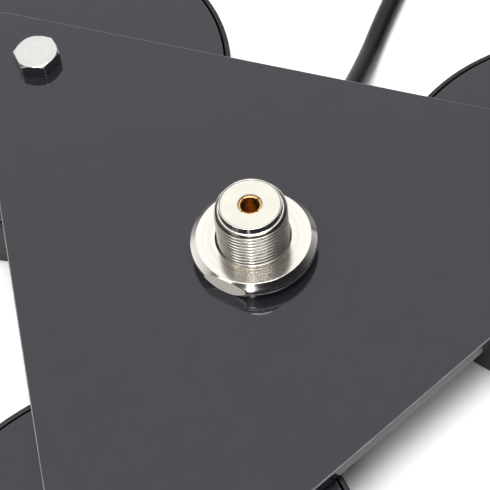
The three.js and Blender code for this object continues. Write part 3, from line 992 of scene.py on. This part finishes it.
def shell_mesh():
    """Threaded barrel and its body in one piece, with the lead's outlet drilled in its side."""
    thread_foot = PLATE_TOP + 2
    lower = rounded(
        [
            (CAP_RADIUS + 0.3, FLANGE_BOTTOM - 1, 0.2),
            (CAP_RADIUS + 0.3, BODY_BOTTOM, 0.15),
            (BODY_RADIUS, BODY_BOTTOM, 0.4),
            (BODY_RADIUS, FLANGE_BOTTOM, 0.25),
            (FLANGE_RADIUS, FLANGE_BOTTOM, 0.3),
            (FLANGE_RADIUS, FLANGE_TOP, 0.3),
            (THREAD_ROOT, FLANGE_TOP, 0.1),
            (THREAD_ROOT, thread_foot, 0),
            (barrel_limit(BARREL_TOP), BARREL_TOP, 0.08),
            (COLLAR_FOOT, BARREL_TOP, 0.02),
            (COLLAR_RADIUS, COLLAR_TOP, 0.07),
            (COLLAR_INNER, COLLAR_TOP, 0.04),
            (COLLAR_INNER, FLANGE_BOTTOM, 0.1),
        ]
    )
    at = lower.index((THREAD_ROOT, thread_foot)) + 1

    def section_at(turn):
        rows = thread_rows(
            turn, thread_foot, BARREL_TOP - 0.1, THREAD_ROOT, THREAD_RADIUS, THREAD_PITCH,
            barrel_limit,
        )
        return lower[:at] + rows + lower[at:]

    rows = len(section_at(0)) - len(lower)
    barrel = revolve(
        "shell", section_at, even_turns(120), Matrix(), (at, at + rows, len(THREAD_FORM))
    )
    boss = lathe(
        "boss",
        [(0, BODY_RADIUS - 1.2, 0), (4.4, BODY_RADIUS - 1.2, 0), (4.4, 16, 0.5),
         (3.05, 16, 0.2), (3.05, 25, 0.2), (0, 25, 0)],
        OUTLET_IN_SOCKET,
        64,
    )
    drill = drill_mesh(2.45, 4, 26, OUTLET_IN_SOCKET, 48)
    mesh = boolean(boolean(barrel, boss, "UNION"), drill, "DIFFERENCE")
    mesh.transform(SOCKET)
    return mesh


RING_NUT_RADIUS = 13.9
RING_NUT_FLAT = 12.95
RING_NUT_TURN = -101
RING_NUT_CHAMFER = 1.27
RING_NUT_WAIST = 2.4
RING_NUT_FOOT = 13


def ring_nut_mesh():
    """Round nut, with two flats milled across it in the second material."""
    foot, top = PLATE_TOP + 0.05, high("ring_nut").z / MM
    hole = THREAD_RADIUS + 0.15
    mesh = lathe(
        "round_nut",
        [
            (hole, foot, 0.1),
            (RING_NUT_FOOT, foot, 0.1),
            (RING_NUT_RADIUS, foot + RING_NUT_WAIST, 1.2),
            (RING_NUT_RADIUS, top - RING_NUT_CHAMFER, 0.12),
            (RING_NUT_RADIUS - RING_NUT_CHAMFER, top, 0.12),
            (hole + 0.35, top, 0.08),
            (hole, top - 0.35, 0.08),
        ],
        Matrix(),
        180,
    )
    shape = bmesh.new()
    shape.from_mesh(mesh)
    for face in shape.faces:
        face.material_index = 0
    for side in (1, -1):
        cut = bmesh.ops.bisect_plane(
            shape,
            geom=shape.verts[:] + shape.edges[:] + shape.faces[:],
            plane_co=(side * RING_NUT_FLAT, 0, 0),
            plane_no=(side, 0, 0),
            clear_outer=True,
        )["geom_cut"]
        edges = [element for element in cut if isinstance(element, bmesh.types.BMEdge)]
        for face in bmesh.ops.edgeloop_fill(shape, edges=edges)["faces"]:
            face.material_index = 1
    bmesh.ops.recalc_face_normals(shape, faces=shape.faces)
    shape.to_mesh(mesh)
    shape.free()
    mesh.transform(SOCKET @ spun(RING_NUT_TURN))
    return mesh


def contact_mesh():
    """Gold tube split by four slots, for the plug's pin."""
    top, foot = high("centre_contact").z / MM, low("centre_contact").z / MM
    bore_end = top - CONTACT_BORE_DEPTH
    tube = lathe(
        "contact",
        [(0, foot, 0), (CONTACT_TAIL, foot, 0.2), (CONTACT_TAIL, PLATE_BOTTOM, 0.1),
         (CONTACT_RADIUS, PLATE_BOTTOM + 0.5, 0.1), (CONTACT_RADIUS, top, 0.2),
         (CONTACT_BORE, top, 0.28), (CONTACT_BORE, bore_end, 0.2), (0, bore_end - 0.5, 0)],
        Matrix(),
        72,
    )
    size = (3 * CONTACT_RADIUS, CONTACT_SLOT, 2 * CONTACT_SLOT_DEPTH)
    for turn in CONTACT_SLOT_TURNS:
        slot = box_mesh("slot", size, Matrix.Translation((0, 0, top)) @ spun(turn))
        tube = boolean(tube, slot, "DIFFERENCE")
    tube.transform(SOCKET)
    return tube


def ferrule_mesh():
    """Crimp ferrule, round at both ends and pressed to a hexagon between them."""
    start, end, inner, outer, apothem = 16.3, 24.5, 3.35, 3.9, 3.52

    def section_at(turn):
        pressed = min(outer, hex_radius(turn, apothem))
        return [
            (inner, start + 0.1), (inner + 0.1, start), (outer - 0.12, start),
            (outer, start + 0.12), (outer, start + 1.2), (pressed, start + 1.9),
            (pressed, end - 1.9), (outer, end - 1.2), (outer, end - 0.12),
            (outer - 0.12, end), (inner + 0.1, end), (inner, end - 0.1),
        ]

    return revolve("ferrule", section_at, hex_turns(), OUTLET)


def sleeve_mesh():
    """Tapered strain relief with shallow rings that let it bend, open for the lead."""
    start, end, bore = 25.3, SLEEVE_END, LEAD_RADIUS + 0.06
    thick, thin = 3.9, 2.95
    taper = start + 5
    corners = [(bore, start, 0.1), (thick, start, 0.4), (thick, taper, 0.6)]
    for ring in range(6):
        along = taper + 2.5 * (ring + 1)
        radius = thick - (thick - thin) * (along - taper) / (end - taper)
        corners += [(radius, along, 0.12), (radius - 0.28, along + 0.25, 0.12),
                    (radius - 0.3, along + 0.75, 0.12), (radius - 0.05, along + 1.0, 0.12)]
    corners += [(thin, end, 0.3), (bore, end, 0.1)]
    return lathe("sleeve", corners, OUTLET, 72, 3)


def insulator_mesh():
    top, foot = high("socket_dielectric").z / MM, low("socket_dielectric").z / MM
    bore = CONTACT_RADIUS + 0.03
    corners = ring_corners(bore, DIELECTRIC_RADIUS, foot, top, (0.1, 0.2, 0.1, 0.05))
    return lathe("insulator", corners, SOCKET, 120)


def seal_mesh():
    """Flat washer between the body's flange and the plate."""
    bottom, top = FLANGE_TOP + 0.05, PLATE_BOTTOM - 0.05
    corners = ring_corners(SEAL_HOLE, FLANGE_RADIUS, bottom, top, (0.1, 0.25, 0.25, 0.1))
    return lathe("seal", corners, SOCKET, 120)


def cap_mesh():
    """Cap under the body: a centre mark and one ring turned in its face."""
    bottom, top = low("body_cap").z / MM, high("body_cap").z / MM
    mark, ring = bottom + 0.3, bottom + 0.25
    return lathe(
        "cap",
        [(0, mark, 0), (1.1, mark, 0.1), (1.5, bottom, 0.1), (6.4, bottom, 0.1),
         (6.6, ring, 0.08), (7.0, ring, 0.08), (7.2, bottom, 0.1),
         (CAP_RADIUS, bottom, 0.25), (CAP_RADIUS, top, 0.1), (0, top, 0)],
        SOCKET,
        96,
    )


def make_socket():
    # The thread's radii give the shell painted shade in its grooves.
    threaded = turned_metal(
        "shell_nickel", SOCKET, NICKEL_DARK, NICKEL_LIGHT, 0.12, 0.2, 0.03,
        (THREAD_ROOT, THREAD_RADIUS),
    )
    nickel = turned_metal("cap_nickel", SOCKET, NICKEL_DARK, NICKEL_LIGHT, 0.12, 0.2, 0.03)
    nut = turned_metal("nut_nickel", SOCKET, NICKEL_DARK, NICKEL_LIGHT, 0.12, 0.2)
    # Milled flats: partly their own matte finish, partly painted light that makes them near-white.
    milled = plated_metal(
        "milled_nickel_painted_light", MILLED_DARK, MILLED_LIGHT, 0.5, 0.62, 3000, 0.3, 0.05
    )
    gold = turned_metal("contact_gold", SOCKET, GOLD_DARK, GOLD_LIGHT, 0.26, 0.38)
    white = white_plastic("insulator_white")
    seal = matt_polymer("seal_rubber", (0.012, 0.012, 0.012), (0.02, 0.02, 0.02), 0.5, 0.65)
    lead_metal = turned_metal("outlet_nickel", OUTLET, NICKEL_DARK, NICKEL_LIGHT, 0.18, 0.3)
    vinyl = black_vinyl("relief_vinyl", 0.35, 0.45)
    add_piece(shell_mesh(), [threaded], "socket_shell", sharp=38)
    add_piece(ring_nut_mesh(), [nut, milled], "ring_nut")
    add_piece(insulator_mesh(), [white], "socket_dielectric")
    add_piece(contact_mesh(), [gold], "centre_contact")
    add_piece(seal_mesh(), [seal], "seal_washer")
    add_piece(cap_mesh(), [nickel], "body_cap")
    add_piece(ferrule_mesh(), [lead_metal], "crimp_ferrule")
    add_piece(sleeve_mesh(), [vinyl], "strain_relief")


# ---- plug ----

KNURLS = 36
COUPLING_RADIUS = 9.2
COUPLING_START, COUPLING_FLOOR, COUPLING_END = 37.5, 40.5, 60
COUPLING_MINOR, COUPLING_BORE = 7.4, 7.85
KNURL_START, KNURL_END = 41.0, 57.0
KNURL_DEPTH = 0.45
BOOT_END = 25
WINDOW_HEIGHT = 33
WINDOW_RADIUS = 1.3
WINDOW_DEPTH = 2
WINDOW_STARTS = (4.3, -6.3)


def knurl_radius(turn, height):
    """Diamond knurl: grooves both ways round, and pyramids with flat tops between them."""
    pitch = FULL_TURN * COUPLING_RADIUS / KNURLS
    across = KNURLS * turn / FULL_TURN
    along = (height - KNURL_START) / pitch
    groove = min(abs((across + way * along) % 1 - 0.5) for way in (1, -1))
    return COUPLING_RADIUS - KNURL_DEPTH * (1 - min(groove / 0.3, 1))


def coupling_nut_mesh():
    """Knurled coupling nut: a back wall with a round hole, and a thread inside the mouth."""
    start, floor, end = COUPLING_START, COUPLING_FLOOR, COUPLING_END
    outer, bore, groove = COUPLING_RADIUS, COUPLING_BORE, COUPLING_RADIUS - KNURL_DEPTH
    rows_count = 66
    row_height = (KNURL_END - KNURL_START) / rows_count
    knurl_heights = [KNURL_START + row_height * row for row in range(rows_count + 1)]

    def section_at(turn):
        outside = [
            (6.05, start + 0.05), (6.15, start), (outer - 1, start), (outer - 0.8, start + 0.07),
            (outer - 0.07, start + 0.8), (outer, start + 1), (outer, KNURL_START - 0.7),
            (groove, KNURL_START - 0.3),
        ]
        knurl = [(knurl_radius(turn, height), height) for height in knurl_heights]
        front = [
            (groove, KNURL_END + 0.3), (outer, KNURL_END + 0.7), (outer, end - 0.6),
            (outer - 0.15, end - 0.15), (outer - 0.6, end), (bore + 0.1, end), (bore, end - 0.1),
        ]
        thread = thread_rows(
            turn, floor + 3, end - 0.6, bore, COUPLING_MINOR, THREAD_PITCH
        )[::-1]
        back = [(bore, floor + 0.1), (bore - 0.1, floor), (6.1, floor), (6.0, floor - 0.1),
                (6.0, start + 0.15)]
        before = outside + knurl + front
        return before + thread + back, len(before), len(thread)

    _, first, count = section_at(0)
    turns = even_turns(KNURLS * 6)
    return revolve(
        "coupling", lambda turn: section_at(turn)[0], turns, PLUG,
        (first, first + count, -len(THREAD_FORM)),
    )


def plug_body_mesh():
    """Plug body with four solder windows behind its shoulder."""
    body = lathe(
        "plug_shell",
        [(0, 25.3, 0), (5.5, 25.3, 0.2), (5.5, 28.2, 0.1), (5.2, 28.5, 0.1), (5.2, 29.1, 0.1),
         (5.5, 29.4, 0.1), (5.5, 41, 0.2), (7.2, 41, 0.25), (7.2, 43.5, 0.25), (6.4, 43.5, 0.1),
         (6.4, 54, 0.2), (5.7, 54, 0.2), (5.7, 44.5, 0.1), (0, 44.5, 0)],
        Matrix(),
        96,
    )
    for turn in (0, 90):
        across = Matrix.Rotation(math.pi / 2, 4, "X")
        window = Matrix.Translation((0, 0, WINDOW_HEIGHT)) @ spun(turn) @ across
        for start in WINDOW_STARTS:
            drill = drill_mesh(WINDOW_RADIUS, start, start + WINDOW_DEPTH, window, 32)
            body = boolean(body, drill, "DIFFERENCE")
    body.transform(PLUG)
    return body


def boot_mesh():
    """Tapered boot with bending rings at its thin end."""
    bore, thin, thick, taper = LEAD_RADIUS + 0.06, 3.3, 5.8, 17
    corners = [(bore, 0, 0.1), (thin, 0, 0.35)]
    for ring in range(5):
        along = 2.6 * (ring + 1)
        radius = thin + (thick - thin) * along / taper
        corners += [(radius, along, 0.15), (radius - 0.5, along + 0.3, 0.15),
                    (radius - 0.4, along + 1.0, 0.15), (radius + 0.19, along + 1.3, 0.15)]
    corners += [(thick, taper, 1.0), (thick, BOOT_END, 0.5), (bore, BOOT_END, 0.1)]
    return lathe("boot", corners, PLUG, 80, 3)


def plug_insulator_mesh():
    corners = ring_corners(2.3, 5.4, 44.8, 52, (0.1, 0.1, 0.3, 0.2))
    return lathe("plug_insulator_ring", corners, PLUG, 72)


def pin_mesh():
    """Centre pin, hollow at its rounded tip."""
    return lathe(
        "pin",
        [(0, 45.1, 0), (2, 45.1, 0.1), (2, 61.2, 0.6), (1.35, 63, 0.35), (0.75, 63, 0.1),
         (0.7, 60, 0.1), (0, 60, 0)],
        PLUG,
        48,
    )


def make_plug():
    """Every piece of the plug, returned."""
    nickel = turned_metal("plug_nickel", PLUG, NICKEL_DARK, NICKEL_LIGHT, 0.14, 0.24)
    gold = turned_metal("pin_gold", PLUG, GOLD_DARK, GOLD_LIGHT, 0.16, 0.26)
    white = white_plastic("plug_white")
    vinyl = black_vinyl("boot_vinyl", 0.35, 0.45)
    boot = add_piece(boot_mesh(), [vinyl], "plug_boot")
    body = add_piece(plug_body_mesh(), [nickel], "plug_body")
    nut = add_piece(
        coupling_nut_mesh(), [nickel], "coupling_nut", "coupling_nut_body", 40
    )
    ring = add_piece(plug_insulator_mesh(), [white], "plug_insulator")
    pin = add_piece(pin_mesh(), [gold], "plug_pin")
    return [boot, body, nut, ring, pin]


# ---- cable tie round the coil ----

TIE_TURN = 120
TIE_WIDTH = 5
TIE_THICKNESS = 1
TIE_BEND = 2.6
TIE_TRIM = 0.2
TIE_GAP = 0.3
TIE_HEAD = (4.5, TIE_WIDTH + 1.5, 3.4)
TIE_HEAD_BEVEL = 0.5
COIL_INNER = COIL_COLUMNS[-1] - LEAD_RADIUS
COIL_OUTER = COIL_COLUMNS[0] + LEAD_RADIUS


def tie_path(coil_top, outset):
    """Closed path round the coil's section, as (distance from the coil's axis, height)."""
    inner, outer = COIL_INNER - outset, COIL_OUTER + outset
    bottom, top = COIL_BOTTOM - outset, coil_top + outset
    bend = TIE_BEND + outset - TIE_GAP
    return rounded(ring_corners(inner, outer, bottom, top, [bend] * 4), 6)


def make_tie():
    """Nylon tie round the turns: a band, and its square head on top of the coil."""
    coil_top = coil_turns()[-1][1] + LEAD_RADIUS
    half = TIE_WIDTH / 2 - TIE_TRIM
    columns = []
    inside, outside = tie_path(coil_top, TIE_GAP), tie_path(coil_top, TIE_GAP + TIE_THICKNESS)
    for (r_in, z_in), (r_out, z_out) in zip(inside, outside):
        columns.append(
            [(r_in, -half, z_in), (r_out, -half, z_out), (r_out, half, z_out), (r_in, half, z_in)]
        )
    band = closed_skin("tie", columns, Matrix())
    head_x = COIL_OUTER + TIE_GAP - TIE_HEAD[0] / 2
    head_z = coil_top + TIE_GAP + TIE_HEAD[2] / 2
    head_place = Matrix.Translation((head_x, 0, head_z))
    head = box_mesh("tie_head", TIE_HEAD, head_place, TIE_HEAD_BEVEL)
    mesh = boolean(band, head, "UNION")
    mesh.name = "tie"
    mesh.transform(SOCKET @ Matrix.Translation((COIL_X, COIL_Y, 0)) @ spun(TIE_TURN))
    nylon = matt_polymer("tie_nylon", (0.014, 0.014, 0.014), (0.024, 0.024, 0.024), 0.38, 0.5, 1500)
    return add_piece(mesh, [nylon], "lead_tie")


# ---- run ----

make_studio()
lead, lead_exit = make_lead()
make_plate()
make_magnets()
make_socket()
make_plug() + [make_tie()]
